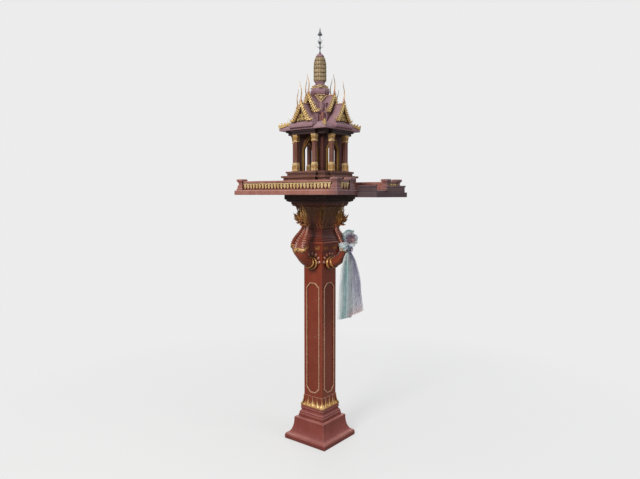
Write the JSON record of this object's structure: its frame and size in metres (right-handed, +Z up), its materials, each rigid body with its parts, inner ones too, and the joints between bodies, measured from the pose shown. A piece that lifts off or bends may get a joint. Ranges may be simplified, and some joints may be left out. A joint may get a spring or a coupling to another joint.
{
  "type": "spirit house",
  "caption": "Small shrine on a moulded square pillar, with serpent brackets, a railed platform with a front landing, and a cruciform gabled roof under a corncob spire.",
  "frame": {"origin": "centre of the pillar's bottom face on the ground", "axes": "+Z up along the pillar; -Y towards the front landing; +X to the right seen from the back"},
  "size_m": [0.682, 0.886, 2.4853],
  "materials": {
    "sheer_cloth": "sheer pale green and lavender tulle",
    "gold_paint": "aged gold paint on cast cement",
    "roof_paint": "weathered mauve paint on cast cement",
    "finial_metal": "weathered grey metal",
    "pink_paint": "sun-bleached pinkish paint on cast cement",
    "red_paint": "weathered red-brown masonry paint on cast cement"
  },
  "bodies": {
    "root": {"base_plinth": "red_paint", "base_steps": "red_paint", "lotus_band": "gold_paint", "pillar_shaft": "red_paint", "panel_beads": "pink_paint", "shaft_collar": "red_paint", "collar_curls": "gold_paint", "capital_neck": "red_paint", "lotus_capital": "red_paint", "abacus": "red_paint", "naga_front": "red_paint", "naga_back": "red_paint", "naga_left": "red_paint", "naga_right": "red_paint", "naga_gilding": "gold_paint", "platform_slab": "pink_paint", "front_landing": "pink_paint", "platform_rails": "pink_paint", "rail_petals": "gold_paint", "platform_posts": "pink_paint", "landing_rails": "pink_paint", "plinth_lower": "red_paint", "plinth_upper": "red_paint", "porch_columns": "red_paint", "column_bases": "gold_paint", "column_capitals": "gold_paint", "shrine_walls": "red_paint", "door_frames": "gold_paint", "entablature": "red_paint", "eave_roof": "roof_paint", "corner_horns": "gold_paint", "roof_core": "roof_paint", "lower_gables": "roof_paint", "upper_gables": "roof_paint", "lower_boards": "gold_paint", "upper_boards": "gold_paint", "tympana": "gold_paint", "chofas": "gold_paint", "spire_bowl": "roof_paint", "spire_garlands": "gold_paint", "spire_crown": "roof_paint", "corncob_spire": "gold_paint", "finial": "finial_metal", "sash": "sheer_cloth"}
  },
  "joints": []
}
